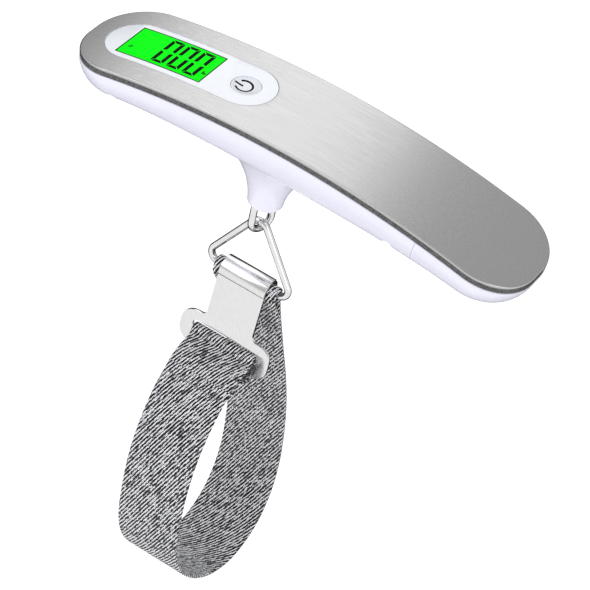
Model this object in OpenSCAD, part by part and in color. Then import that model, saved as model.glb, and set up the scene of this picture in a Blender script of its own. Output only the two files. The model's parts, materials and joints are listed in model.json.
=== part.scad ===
// Hand-held digital luggage scale: an arched handle with a display, a load cell in it,
// and below it a load eye, a triangular wire ring, a hook plate and a webbing loop.
// X runs along the handle, Y across it, Z up. The origin is the top of the arch, where the hand lies.

/* [Handle] */
// Length of the handle, straight from end to end
handle_l = 149.4; // [140:1:160]
// Width of the handle
handle_w = 35; // [34:0.5:36]
// Radius of the arch along the top of the handle
arch_r = 297; // [280:1:330]
// Plan radius of the handle's four corners
corner_r = 15.4; // [12:0.1:16]
// Thickness of the steel top plate
plate_t = 0.9; // [0.8:0.1:1]
// Height of the frame's rim below the top plate
band_t = 1.7; // [1.6:0.1:2]
// Depth of the white shell below the rim, which is also the radius of its lower edges
shell_t = 11; // [11:0.1:11.5]
// Wall thickness of the white shell
wall = 1.8; // [1.6:0.1:1.8]
// Distance along the arch to the joint between the rear shell and the battery door
door_s = 45; // [44:0.5:46]

/* [Display] */
// Centre of the display window along the arch
window_s = -41.9; // [-43:0.1:-41]
// Length of the display window
window_l = 55.4; // [54:0.1:56]
// Width of the display window
window_w = 19.2; // [19:0.1:20]
// Centre of the display along the arch
lcd_s = -48.7; // [-49:0.1:-48]
// Length of the visible display
lcd_l = 28.7; // [27:0.1:29]
// Width of the visible display
lcd_w = 15; // [14:0.1:15.2]
// Centre of the power button along the arch
button_s = -23.3; // [-24:0.1:-23]
// Radius of the power button
button_r = 4.4; // [4:0.1:4.5]

/* [Load path] */
// Position of the load eye along X
eye_x = -9.8; // [-12:0.1:-9]
// Height of the flat underside of the boss
boss_z = -35.8; // [-37:0.1:-35]
// Radius of the boss at its underside
boss_r = 5.3; // [5.2:0.1:6]
// Radius of the load eye's shank
shank_r = 1.6; // [1.5:0.1:1.6]
// Radius of the wire of the eye and the ring
wire_r = 1.1; // [1:0.05:1.1]
// Turn of the eye's plane from the handle's length
eye_turn = 70; // [70:1:90]
// Height of the ring's base bar
bar_z = -66.2; // [-67:0.1:-66]
// Length of the ring's base bar between the centres of its corner bends
ring_base = 21; // [20:0.1:22]

/* [Strap] */
// Width of the webbing
strap_w = 22; // [20:0.5:22]
// Thickness of the webbing
strap_t = 1.3; // [1.2:0.05:1.3]
// Forward lean of the hook plate
hook_lean = 8; // [7:0.5:9]
// Thickness of the hook plate
hook_t = 1; // [0.8:0.1:1]

/* [Hidden] */
$fn = 96;

arch_fn = 720;
gap = 0.1;
frame_d = plate_t + band_t;
inner_r = shell_t - wall;
floor_d = frame_d + inner_r;
joint_r = arch_r - frame_d;
// Half widths of the shell's flat floor, across the handle and in from its round ends
flat_y = handle_w / 2 - shell_t;
flat_end = corner_r - shell_t;
// Angle of arch from the middle to where the round ends start
end_deg = asin(handle_l / 2 / norm([joint_r, corner_r])) - atan2(corner_r, joint_r);
steel = [0.72, 0.72, 0.72];
white = [0.94, 0.93, 0.98];
webbing = [0.5, 0.5, 0.5];

screw_s = [-60, 37];
screw_y = 13.5;
// Depths of a housing screw's seat and of the joint between the posts that it draws together
seat_d = 6.6;
post_d = 4;
cell_x = [-15.4, 37.6];
cell_w = 11;
cell_z = [-11.3, -5.3];
cell_holes_x = [3, 13];
cell_screw_x = [25, 33];
// The board and what stands on it lie flat: heights are from the top of the arch at board_s
board_s = -41.4;
board_size = [49.6, 21.6, 1];
board_z = -7;
panel_z = -2.8;
panel_size = [33, 17.6, 1.6];
holder_z = -3.8;
lcd_x = lcd_s - board_s;
switch_x = (arch_r - 4.7) * sin(arc_deg(button_s - board_s));
plunger_r = 1.75;
coin_s = 56;
coin_r = 10;
coin_h = 3.2;

// The eye is a long link: two half rounds joined by straight limbs
eye_bend = 3.6;
eye_low_z = -47.2 + wire_r + eye_bend;
eye_high_z = boss_z - 1.9;
apex_bend = 3;
corner_bend = 3;
ring_apex_z = eye_low_z - eye_bend + 2 * wire_r + 0.3;

// Radii of the webbing's turn over the ring's bar, and of the curl of the hook plate over that
roll_r = wire_r + 0.1 + strap_t / 2;
curl_in = roll_r + strap_t / 2 + 0.1;
curl_out = curl_in + hook_t;
neck_half = 8.1;
ear_x = 11;
ear_r = 4.7;
slot_half = strap_w / 2 + 0.6;
slot_top = -20.2;
slot_low = -23;

// Route of the webbing's middle line in the YZ plane, from the seam round to the ring's bar
loop_route = [[-18.6, -94.6], [-24.4, -101.4], [-29.4, -112], [-32, -124], [-32.5, -138],
    [-31, -152], [-26.5, -164], [-19, -174.5], [-9, -184], [2, -190.2], [13, -192], [23, -187.6],
    [28.8, -178], [30.5, -165], [28.8, -149], [25, -132], [19, -114], [11, -94], [4.8, -78],
    [2.3, -71], [1.9, -68.4]];
bar_turn = [for (a = [0:30:180]) [roll_r * cos(a), bar_z + roll_r * sin(a)]];
// Route of the end that is turned over the bar and sewn to the inside of the strap
tail_route = [[-roll_r, bar_z], [-1.75, -68.2], [-0.1, -71.2], [2.4, -75], [4.4, -79.9], [6.7, -85.6]];
// Route of the folded end, from the seam up its front, over the plate's bar and back to the seam
fold_route = [[-18.1, -94.1], [-15.6, -92.1], [-12, -90.9], [-8.9, -90.4], [-7.9, -89.4],
    [-7.55, -88.2], [-6.2, -87.35], [-5.2, -88.1], [-5.05, -89.4], [-5.4, -93], [-6.5, -95],
    [-8.8, -95.4], [-11.6, -94.1], [-14.4, -94.1], [-16.8, -95.6]];

function arc_deg(s) = s / arch_r * 180 / PI;

// Catmull-Rom curve through the points of a route, steps points to a span
function route_point(p, i) = p[max(0, min(len(p) - 1, i))];
function curve_at(a, b, c, d, t) =
    0.5 * (2 * b + (c - a) * t + (2 * a - 5 * b + 4 * c - d) * t * t
    + (3 * b - a - 3 * c + d) * t * t * t);
function smooth_route(p, steps) = concat(
    [for (i = [0:len(p) - 2]) for (k = [0:steps - 1])
        curve_at(route_point(p, i - 1), p[i], p[i + 1], route_point(p, i + 2), k / steps)],
    [p[len(p) - 1]]);
function side_step(p, i, d) =
    let (v = route_point(p, i + 1) - route_point(p, i - 1))
    p[i] + d * [-v[1], v[0]] / norm(v);

// A strip of thickness t along a curve
module strip(p, t) {
    n = len(p) - 1;
    polygon(concat(
        [for (i = [0:n]) side_step(p, i, t / 2)],
        [for (i = [0:n]) side_step(p, n - i, -t / 2)]));
}

// Draws 2D children in the YZ plane and extrudes them along X about the eye's position
module across(width) {
    translate([eye_x - width / 2, 0, 0])
    rotate([90, 0, 90])
    linear_extrude(width)
    children();
}

// Draws 2D children in the XZ plane and extrudes them across the handle
module sideways(width) {
    translate([0, width / 2, 0])
    rotate([90, 0, 0])
    linear_extrude(width)
    children();
}

// Places children on the arch, with local Z along the arch's outward normal
module on_arch(s) {
    translate([0, 0, -arch_r])
    rotate([0, arc_deg(s), 0])
    translate([0, 0, arch_r])
    children();
}

module block(size, top) {
    translate([-size[0] / 2, -size[1] / 2, top - size[2]])
    cube(size);
}

// Upright cylinder between two heights
module post(r, low, high) {
    translate([0, 0, low])
    cylinder(r = r, h = high - low);
}

// Rectangle with round corners, drawn inward from the handle's plan by inset
module plan(inset) {
    l = handle_l - 2 * inset;
    w = handle_w - 2 * inset;
    r = corner_r - inset;
    square([l - 2 * r, w], center = true);
    square([l, w - 2 * r], center = true);
    for (x = [-1, 1])
        for (y = [-1, 1])
            translate([x * (l / 2 - r), y * (w / 2 - r)])
            circle(r);
}

module stadium(l, w) {
    square([l - w, w], center = true);
    for (x = [-1, 1])
        translate([x * (l - w) / 2, 0])
        circle(w / 2);
}

module plan_column(inset) {
    translate([0, 0, -40])
    linear_extrude(50)
    plan(inset);
}

module window_column(grow) {
    on_arch(window_s)
    translate([0, 0, -8])
    linear_extrude(16)
    stadium(window_l + grow, window_w + grow);
}

// Slab between two depths below the top of the arch
module arch_slab(high, low) {
    sideways(handle_w + 10)
    intersection() {
        translate([0, -arch_r])
        difference() {
            circle(arch_r - high, $fn = arch_fn);
            circle(arch_r - low, $fn = arch_fn);
        }
        translate([-handle_l, -60])
        square([2 * handle_l, 70]);
    }
}

// Half of the lower shell's section, from its middle plane outward, r deep and r high about the joint line
module half_section(middle, r) {
    intersection() {
        union() {
            translate([0, -r])
            square([middle, 2 * r]);
            translate([middle, 0])
            circle(r);
        }
        translate([0, -r])
        square([middle + r, 2 * r]);
    }
}

// Lower shell as a solid, r deep below the joint line and running on above it
module shell_solid(r) {
    translate([0, 0, -arch_r])
    rotate([90, end_deg - 90, 0])
    rotate_extrude(angle = 2 * end_deg, $fn = arch_fn)
    translate([joint_r, 0])
    for (side = [0, 1])
        mirror([0, side])
        rotate(90)
        half_section(flat_y, r);
    for (side = [0, 1])
        mirror([side, 0, 0])
        translate([0, 0, -arch_r])
        rotate([0, end_deg, 0])
        translate([0, 0, joint_r]) {
            for (turn = [0, -90])
                translate([0, (turn == 0 ? 1 : -1) * (flat_y - flat_end), 0])
                rotate(turn)
                rotate_extrude(angle = 90)
                half_section(flat_end, r);
            sideways(2 * (flat_y - flat_end))
            half_section(flat_end, r);
        }
}

// Boss below the shell: a trumpet that is round in plan and thinner across the handle
module boss_solid() {
    // Radii of the flare along the handle and across it, both centred a little below the underside
    flare_r = 23.5;
    side_r = 42;
    flare_x = boss_r + flare_r - 0.05;
    side_x = boss_r + side_r - 0.05;
    centre_z = boss_z - 1.6;
    boss_top = -12;
    intersection() {
        translate([eye_x, 0, 0])
        rotate_extrude()
        difference() {
            translate([0, boss_z])
            square([22, boss_top - boss_z]);
            translate([flare_x, centre_z])
            circle(flare_r, $fn = 180);
        }
        across(50)
        difference() {
            translate([-15, boss_z])
            square([30, boss_top - boss_z]);
            for (y = [-1, 1])
                translate([y * side_x, centre_z])
                circle(side_r, $fn = 180);
        }
    }
}

module at_screws() {
    for (s = screw_s)
        for (y = [-screw_y, screw_y])
            on_arch(s)
            translate([0, y, 0])
            children();
}

// Everything of the lower shell, before it is divided into rear shell and battery door
module lower_case() {
    difference() {
        intersection() {
            union() {
                shell_solid(shell_t);
                boss_solid();
            }
            arch_slab(frame_d + gap / 2, 60);
        }
        difference() {
            shell_solid(inner_r);
            at_screws()
            post(2.4, -16, -post_d);
            for (x = cell_screw_x)
                translate([x, 0, 0])
                post(2.6, -16, cell_z[0] - 0.05);
        }
        at_screws() {
            post(1.15, -20, 0);
            post(2, -20, -seat_d);
        }
        for (x = cell_screw_x)
            translate([x, 0, 0])
            post(1.2, cell_z[0] - 1.5, cell_z[0] + 1);
        translate([eye_x, 0, 0]) {
            post(shank_r + 0.5, boss_z - 1, -10);
            post(boss_r - 0.7, boss_z - 1, boss_z + 3.2);
        }
    }
}

module beyond_joint(offset) {
    on_arch(door_s + offset)
    translate([0, -30, -60])
    cube([60, 60, 70]);
}

module top_plate() {
    color(steel)
    difference() {
        intersection() {
            arch_slab(0, plate_t);
            plan_column(0);
        }
        window_column(0);
    }
}

module mid_frame() {
    color([0.45, 0.45, 0.45])
    difference() {
        union() {
            intersection() {
                arch_slab(plate_t, frame_d);
                plan_column(0.3);
            }
            at_screws()
            post(2, 0.1 - post_d, 0.4 - frame_d);
        }
        window_column(3.2);
        at_screws()
        post(0.8, -10, -1.6);
    }
}

module rear_shell() {
    color(white)
    difference() {
        lower_case();
        beyond_joint(-gap);
    }
}

module battery_door() {
    tongue_l = 3;
    tongue_w = 4;
    color(white) {
        intersection() {
            lower_case();
            beyond_joint(gap);
        }
        on_arch(door_s)
        for (y = [-4.5, 4.5]) {
            translate([-tongue_l, y - tongue_w / 2, -floor_d + 0.15])
            cube([2 * tongue_l, tongue_w, 1]);
            translate([gap, y - tongue_w / 2, -floor_d - 0.5])
            cube([tongue_l - gap, tongue_w, 1]);
        }
    }
}

module display_fascia() {
    color(white)
    difference() {
        union() {
            intersection() {
                arch_slab(0, plate_t + 0.8);
                window_column(-0.15);
            }
            intersection() {
                arch_slab(plate_t + 0.05, plate_t + 0.8);
                window_column(2.4);
            }
        }
        on_arch(lcd_s)
        block([lcd_l, lcd_w, 10], 5);
        on_arch(button_s)
        post(button_r + 0.1, -5, 5);
    }
}

module lcd_lens() {
    color([0.8, 0.9, 0.8, 0.4])
    intersection() {
        arch_slab(0.1, 1.5);
        on_arch(lcd_s)
        block([lcd_l - 0.1, lcd_w - 0.1, 10], 5);
    }
}

module lcd_panel() {
    color([0.1, 0.9, 0.1])
    on_arch(board_s)
    translate([lcd_x, 0, 0])
    block(panel_size, panel_z);
}

module lcd_backlight() {
    color([0.7, 1, 0.7])
    on_arch(board_s)
    translate([lcd_x, 0, 0])
    block([33, 13.2, 1.6], panel_z - panel_size[2]);
}

module lcd_holder() {
    color([0.9, 0.9, 0.9])
    on_arch(board_s)
    translate([lcd_x, 0, 0])
    difference() {
        block([panel_size[0] + 2.6, panel_size[1] + 2.8, holder_z - board_z], holder_z);
        block([panel_size[0] + 0.2, panel_size[1] + 0.2, 10], 0);
    }
}

module zebra_strips() {
    top = panel_z - panel_size[2];
    color([0.85, 0.55, 0.6])
    on_arch(board_s)
    for (y = [-7.8, 7.8])
        translate([lcd_x, y, 0])
        block([31, 1.7, top - board_z], top);
}

module circuit_board() {
    color([0.05, 0.35, 0.15])
    on_arch(board_s)
    difference() {
        block(board_size, board_z);
        for (x = [-1, 1])
            for (y = [-1, 1])
                translate([x * board_size[0] / 2, y * board_size[1] / 2, 0])
                post(2, -9, -6);
    }
}

module chip_blob() {
    under = board_z - board_size[2];
    color([0.08, 0.08, 0.08])
    on_arch(board_s)
    translate([-8, 0, 0])
    intersection() {
        translate([0, 0, under + 5.2])
        sphere(7);
        post(4.6, -12, under);
    }
}

module board_parts() {
    under = board_z - board_size[2];
    color([0.15, 0.15, 0.15])
    on_arch(board_s) {
        translate([9, 2, 0])
        block([6, 4, 1.4], under);
        for (i = [0:3])
            translate([3 + 3.2 * i, -7, 0])
            block([2, 1.2, 0.7], under);
        for (i = [0:2])
            translate([4 + 3.2 * i, 8, 0])
            block([2, 1.2, 0.7], under);
    }
}

module tact_switch() {
    color([0.25, 0.25, 0.28])
    on_arch(board_s)
    translate([switch_x, 0, 0])
    difference() {
        block([6, 6, 2.8], board_z + 2.8);
        post(plunger_r + 0.1, board_z + 0.5, 0);
    }
}

// The switch's plunger, which the button pushes down into it
module switch_plunger() {
    color([0.9, 0.9, 0.9])
    on_arch(button_s)
    post(plunger_r, -5.2, -2.85);
}

module power_button() {
    color(white)
    on_arch(button_s)
    difference() {
        union() {
            post(button_r, -2.3, -0.15);
            post(button_r + 0.7, -2.3, -1.85);
            post(1.4, -2.85, -2.2);
        }
        translate([0, 0, 17.3])
        sphere(18, $fn = 180);
    }
}

module load_cell() {
    mid_z = (cell_z[0] + cell_z[1]) / 2;
    color([0.75, 0.76, 0.78])
    difference() {
        translate([cell_x[0], -cell_w / 2, cell_z[0]])
        cube([cell_x[1] - cell_x[0], cell_w, cell_z[1] - cell_z[0]]);
        translate([eye_x, 0, 0])
        post(shank_r + 0.06, -20, 0);
        for (x = cell_screw_x)
            translate([x, 0, 0]) {
                post(1.6, -20, 0);
                post(2.8, cell_z[1] - 1.8, 0);
            }
        for (x = cell_holes_x)
            translate([x, 0, mid_z])
            rotate([90, 0, 0])
            cylinder(r = 2.1, h = 40, center = true);
        translate([(cell_holes_x[0] + cell_holes_x[1]) / 2, 0, mid_z])
        cube([cell_holes_x[1] - cell_holes_x[0], 40, 1], center = true);
    }
}

module strain_gauges() {
    color([0.85, 0.6, 0.25])
    for (x = cell_holes_x)
        translate([x, 0, 0]) {
            block([6, 4, 0.15], cell_z[1] + 0.15);
            block([6, 4, 0.15], cell_z[0]);
        }
}

module load_cell_screws() {
    color(steel)
    for (x = cell_screw_x)
        translate([x, 0, 0])
        difference() {
            union() {
                post(2.6, cell_z[1] - 1.8, cell_z[1] - 0.2);
                post(1.15, cell_z[0] - 1.4, cell_z[1] - 1.7);
            }
            for (turn = [0, 90])
                rotate(turn)
                block([3, 0.6, 1], cell_z[1]);
        }
}

// A wire laid along the arch from s0 to s1, at depth d and offset y
module arch_wire(s0, s1, d, y, r) {
    translate([0, y, -arch_r])
    rotate([90, arc_deg(s1) - 90, 0])
    rotate_extrude(angle = arc_deg(s1 - s0), $fn = arch_fn)
    translate([arch_r - d, 0])
    circle(r, $fn = 24);
}

module gauge_wires() {
    color([0.8, 0.1, 0.1])
    for (y = [-7.6, -6.4, 6.4, 7.6])
        arch_wire(-17, 6, 5.5, y, 0.4);
}

module battery_wires() {
    color([0.1, 0.1, 0.1])
    for (y = [-9.2, 9.2])
        arch_wire(-17, 48.6, 5.4, y, 0.55);
}

module battery_holder() {
    color([0.12, 0.12, 0.12])
    on_arch(coin_s)
    difference() {
        post(coin_r + 1.3, -9.4, -3.1);
        post(coin_r + 0.15, -12, -5);
        translate([0, 0, -9.5])
        block([40, 9, 3], 3);
    }
}

module coin_cell() {
    color([0.8, 0.8, 0.82])
    on_arch(coin_s) {
        post(coin_r, -5.7 - coin_h + 0.4, -5.7);
        post(coin_r - 1.2, -5.7 - coin_h, -5.7 - coin_h + 0.5);
    }
}

module battery_contacts() {
    color([0.85, 0.75, 0.45])
    on_arch(coin_s) {
        block([14, 3, 0.3], -5.1);
        block([3, 3, 0.3], -5.35);
        translate([-coin_r - 0.05, 0, 0])
        block([0.1, 3, 2.2], -6.6);
    }
}

module housing_screws() {
    head_top = -0.05 - seat_d;
    color(steel)
    at_screws()
    difference() {
        union() {
            post(1.75, head_top - 1.4, head_top);
            post(1, head_top - 0.1, -post_d - 0.1);
            post(0.8, -post_d - 0.2, -1.7);
        }
        for (turn = [0, 90])
            rotate(turn)
            block([2.2, 0.5, 0.8], head_top - 0.7);
    }
}

module eye_washer() {
    color(steel)
    translate([eye_x, 0, 0])
    difference() {
        post(3.4, cell_z[1] + 0.02, cell_z[1] + 0.4);
        post(shank_r + 0.02, -10, 0);
    }
}

module eye_nut() {
    color(steel)
    translate([eye_x, 0, cell_z[1] + 0.42])
    difference() {
        cylinder(r = 3.2, h = 1.9, $fn = 6);
        translate([0, 0, -1])
        cylinder(r = shank_r + 0.01, h = 4);
    }
}

// Half round of wire in the local XZ plane, open downward, its ends at the local origin's height
module half_round(bend, r) {
    rotate([90, 0, 0])
    rotate_extrude(angle = 180)
    translate([bend, 0])
    circle(r, $fn = 48);
}

module load_eye() {
    color([0.8, 0.8, 0.8])
    translate([eye_x, 0, 0]) {
        post(shank_r, eye_high_z + eye_bend, cell_z[1] + 2.3);
        rotate(eye_turn) {
            translate([0, 0, eye_high_z])
            half_round(eye_bend, wire_r);
            translate([0, 0, eye_low_z])
            rotate([180, 0, 0])
            half_round(eye_bend, wire_r);
            for (x = [-eye_bend, eye_bend])
                translate([x, 0, 0])
                post(wire_r, eye_low_z, eye_high_z);
        }
    }
}

// One bend of the ring: bend radius, start angle and sweep, in the XZ plane
module ring_bend(x, z, bend, start, sweep) {
    translate([eye_x + x, 0, z])
    rotate([90, -start, 0])
    rotate_extrude(angle = sweep)
    translate([bend, 0])
    circle(wire_r, $fn = 48);
}

module triangle_ring() {
    apex_z = ring_apex_z - apex_bend;
    base_z = bar_z + corner_bend;
    half = ring_base / 2;
    rise = apex_z - base_z;
    span = norm([half, rise]);
    // Slope of the line that touches the outside of the apex bend and a corner bend
    lean = atan2(rise, half) - asin((corner_bend - apex_bend) / span);
    // The legs run a little way into the bends at their ends
    leg_in = 0.2;
    leg = sqrt(span * span - pow(corner_bend - apex_bend, 2)) + 2 * leg_in;
    color([0.8, 0.8, 0.8]) {
        ring_bend(0, apex_z, apex_bend, 90 - lean, 2 * lean);
        ring_bend(half, base_z, corner_bend, -90, 180 - lean);
        ring_bend(-half, base_z, corner_bend, 90 + lean, 180 - lean);
        translate([eye_x, 0, bar_z])
        rotate([0, 90, 0])
        cylinder(r = wire_r, h = ring_base, center = true, $fn = 48);
        for (side = [-1, 1])
            translate([
                eye_x + side * (half + corner_bend * sin(lean)), 0,
                base_z + corner_bend * cos(lean)])
            rotate([0, side * (lean - 90), 0])
            translate([0, 0, -leg_in])
            cylinder(r = wire_r - 0.02, h = leg, $fn = 48);
    }
}

// The hook plate's own frame: origin on the ring's bar, leaning forward
module in_hook() {
    translate([eye_x, 0, bar_z])
    rotate([-hook_lean, 0, 0])
    children();
}

module hook_outline() {
    translate([-neck_half, slot_top])
    square([2 * neck_half, -slot_top]);
    translate([-ear_x, -27])
    square([2 * ear_x, 10]);
    for (x = [-1, 1]) {
        translate([x * ear_x, -21.8])
        circle(ear_r);
        translate([x * ear_x, -24])
        circle(ear_r);
        translate([x * ear_x - ear_r, -24])
        square([2 * ear_r, 2.2]);
        // Round inner corner between the neck and the ear
        difference() {
            translate([x > 0 ? neck_half : -neck_half - 2.2, -17.2])
            square([2.2, 2.2]);
            translate([x * (neck_half + 2.2), -15])
            circle(2.2);
        }
    }
}

module hook_plate() {
    color([0.85, 0.85, 0.85])
    in_hook() {
        translate([0, -curl_out + hook_t, 0])
        rotate([90, 0, 0])
        linear_extrude(hook_t)
        difference() {
            hook_outline();
            translate([-slot_half + 1, slot_low])
            square([2 * slot_half - 2, slot_top - slot_low]);
            for (x = [-1, 1])
                translate([x * (slot_half - 1.4), (slot_top + slot_low) / 2])
                circle((slot_top - slot_low) / 2);
        }
        translate([-neck_half, 0, 0])
        rotate([90, 0, 90])
        linear_extrude(2 * neck_half)
        difference() {
            circle(curl_out);
            circle(curl_in);
            translate([-curl_out - 1, -2 * curl_out])
            square([2 * curl_out + 2, 2 * curl_out]);
        }
    }
}

module strap_fold() {
    color(webbing)
    across(strap_w)
    strip(smooth_route(fold_route, 3), strap_t - 0.1);
}

module webbing_strap() {
    color(webbing)
    across(strap_w) {
        strip(smooth_route(concat(loop_route, bar_turn), 3), strap_t);
        strip(smooth_route(tail_route, 3), strap_t);
    }
}

top_plate();
mid_frame();
rear_shell();
battery_door();
display_fascia();
lcd_lens();
lcd_panel();
lcd_backlight();
lcd_holder();
zebra_strips();
circuit_board();
chip_blob();
board_parts();
tact_switch();
switch_plunger();
power_button();
load_cell();
strain_gauges();
load_cell_screws();
gauge_wires();
battery_wires();
battery_holder();
coin_cell();
battery_contacts();
housing_screws();
eye_washer();
eye_nut();
load_eye();
triangle_ring();
hook_plate();
strap_fold();
webbing_strap();
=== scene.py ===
"""Looks of an arched hand-held luggage scale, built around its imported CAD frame.

Lengths in this script are millimetres and are turned into metres when a mesh or a light is made.
"""

import json
import math

import bmesh
import bpy
import numpy as np
from mathutils import Matrix, Vector


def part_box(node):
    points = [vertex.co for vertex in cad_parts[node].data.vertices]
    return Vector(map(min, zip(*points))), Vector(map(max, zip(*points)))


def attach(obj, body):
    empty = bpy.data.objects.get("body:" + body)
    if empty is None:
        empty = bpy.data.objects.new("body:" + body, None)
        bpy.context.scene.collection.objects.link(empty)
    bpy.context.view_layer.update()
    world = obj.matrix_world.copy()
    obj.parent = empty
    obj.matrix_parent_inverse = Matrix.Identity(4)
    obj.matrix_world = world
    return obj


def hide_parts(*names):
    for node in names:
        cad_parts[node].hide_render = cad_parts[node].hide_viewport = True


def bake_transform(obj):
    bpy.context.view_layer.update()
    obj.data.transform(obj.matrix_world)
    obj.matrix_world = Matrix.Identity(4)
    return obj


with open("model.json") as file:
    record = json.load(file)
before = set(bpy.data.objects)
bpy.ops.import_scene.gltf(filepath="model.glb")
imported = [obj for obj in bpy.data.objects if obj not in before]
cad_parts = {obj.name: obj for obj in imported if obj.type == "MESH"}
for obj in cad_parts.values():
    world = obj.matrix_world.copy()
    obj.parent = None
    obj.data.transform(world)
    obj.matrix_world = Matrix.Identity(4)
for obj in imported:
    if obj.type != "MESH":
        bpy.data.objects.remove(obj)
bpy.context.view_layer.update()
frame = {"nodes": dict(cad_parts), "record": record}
scene = bpy.context.scene
MM = 0.001

# Handle
ARCH_R = 297.0
HALF_L = 74.7
HALF_W = 17.5
CORNER_R = 15.4
PLATE_T = 0.9
JOINT_D = 2.6
SHELL_R = 11.0
WALL = 1.8
JOINT_R = ARCH_R - JOINT_D
END_ANGLE = math.asin(HALF_L / math.hypot(JOINT_R, CORNER_R)) - math.atan2(CORNER_R, JOINT_R)
DOOR_S = 45.0
DOOR_GAP = 0.1
SCREW_S = (-60.0, 37.0)
SCREW_Y = 13.5
SCREW_HOLE_R = 2.0
SCREW_HOLE_Z = -11.5
SCREW_HOLE_L = 9

# Display and button
WINDOW_S = -41.9
WINDOW_L = 55.4
WINDOW_W = 19.2
LCD_S = -48.7
LCD_L = 28.7
LCD_W = 15.0
BUTTON_S = -23.3
BUTTON_R = 4.4
BUTTON_LIP = 0.35
DISH_R = 13.0
DISH_CENTRE = 12.2

# Load path
EYE_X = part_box("load_eye")[0].x / 2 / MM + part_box("load_eye")[1].x / 2 / MM
BOSS_Z = -35.8
BOSS_R = 5.3
BOSS_TOP_Z = -14.2
BOSS_BORE_TOP_Z = -13.5
BOSS_BLEND = 5.0
FLARE_X_R = 23.5
FLARE_Y_R = 42.0
FLARE_Z = BOSS_Z - 1.6
SHANK_R = 1.6
WIRE_R = 1.1
PLAY = 0.1
EYE_TURN = math.radians(70)
EYE_BEND = 3.6
EYE_LOW_Z = -42.5
EYE_HIGH_Z = -37.7
RING_BEND = 3.0
RING_APEX_Z = -43.6
RING_BASE = 21.0
BAR_Z = -66.2

# Webbing: routes of its middle line in the YZ plane
STRAP_W = 22.0
STRAP_T = 1.3
FOLD_T = 1.2
TURN_R = WIRE_R + PLAY + STRAP_T / 2
FRONT_ROUTE = [(-18.6, -94.6), (-24.4, -101.4), (-29.4, -112), (-32, -124), (-32.5, -138),
               (-31, -152), (-26.5, -164), (-19, -174.5), (-9, -184), (2, -190.2)]
BACK_ROUTE = [(2, -190.2), (13, -192), (23, -187.6), (28.8, -178), (30.5, -165), (28.8, -149),
              (25, -132), (19, -114), (11, -94), (4.8, -78), (2.3, -71), (1.9, -68.4)]
TAIL_ROUTE = [(-TURN_R, BAR_Z), (-1.75, -68.2), (-0.1, -71.2), (2.4, -75), (4.4, -79.9),
              (6.7, -85.6)]
FOLD_ROUTE = [(-18.1, -94.1), (-15.6, -92.1), (-12, -90.9), (-8.9, -90.4), (-7.9, -89.4),
              (-7.55, -88.2), (-6.2, -87.35), (-5.2, -88.1), (-5.05, -89.4), (-5.4, -93),
              (-6.5, -95), (-8.8, -95.4), (-11.6, -94.1), (-14.4, -94.1), (-16.8, -95.6)]


# ---------------------------------------------------------------- meshes

def add_piece(name, points, faces, body, material, uvs=None, ride=True):
    """A mesh piece from points in millimetres, with its material and body."""
    data = bpy.data.meshes.new(name)
    data.from_pydata([tuple(c * MM for c in p) for p in points], [], faces)
    data.validate()
    if uvs is not None:
        layer = data.uv_layers.new(name="UVMap")
        for loop in data.loops:
            layer.data[loop.index].uv = uvs[loop.vertex_index]
    piece = bpy.data.objects.new(name, data)
    scene.collection.objects.link(piece)
    outward(data)
    data.materials.append(material)
    if ride:
        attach(piece, body)
    return piece


def outward(data, sharp_deg=50):
    """Turns the faces outward and shades them smooth, apart from the sharp edges."""
    work = bmesh.new()
    work.from_mesh(data)
    bmesh.ops.recalc_face_normals(work, faces=work.faces)
    work.to_mesh(data)
    work.free()
    data.polygons.foreach_set("use_smooth", [True] * len(data.polygons))
    data.set_sharp_from_angle(angle=math.radians(sharp_deg))
    data.update()


def loft_faces(rows, columns, wrap_rows=False, wrap_columns=True):
    """Quads between the rows of a grid of points, row by row."""
    faces = []
    for i in range(rows if wrap_rows else rows - 1):
        for j in range(columns if wrap_columns else columns - 1):
            a = i * columns + j
            b = i * columns + (j + 1) % columns
            c = (i + 1) % rows * columns + (j + 1) % columns
            d = (i + 1) % rows * columns + j
            faces.append((a, b, c, d))
    return faces


def on_arch(angle, y, depth):
    """Point at an angle along the handle's arch, a depth below its top."""
    r = ARCH_R - depth
    return (r * math.sin(angle), y, r * math.cos(angle) - ARCH_R)


def arch_matrix(s):
    """Frame with its origin on the arch at s and its Z along the arch's normal."""
    angle = s / ARCH_R
    return Matrix.Translation((ARCH_R * math.sin(angle), 0, ARCH_R * math.cos(angle) - ARCH_R)) \
        @ Matrix.Rotation(angle, 4, "Y")


def rounded_rectangle(half_x, half_y, corner, spacing, corner_steps):
    """Points of a rounded rectangle with their outward normals, anticlockwise."""
    found = []
    centres = [(1, 1, 0), (-1, 1, 90), (-1, -1, 180), (1, -1, 270)]
    for k, (sx, sy, start) in enumerate(centres):
        cx, cy = sx * (half_x - corner), sy * (half_y - corner)
        for i in range(corner_steps + 1):
            a = math.radians(start + 90 * i / corner_steps)
            found.append((cx + corner * math.cos(a), cy + corner * math.sin(a), math.cos(a), math.sin(a)))
        nx, ny = math.cos(a), math.sin(a)
        sx2, sy2, _ = centres[(k + 1) % 4]
        ex, ey = sx2 * (half_x - corner) + corner * nx, sy2 * (half_y - corner) + corner * ny
        px, py = found[-1][:2]
        steps = max(1, int(math.hypot(ex - px, ey - py) / spacing))
        for i in range(1, steps):
            t = i / steps
            found.append((px + t * (ex - px), py + t * (ey - py), nx, ny))
    return found


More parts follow.
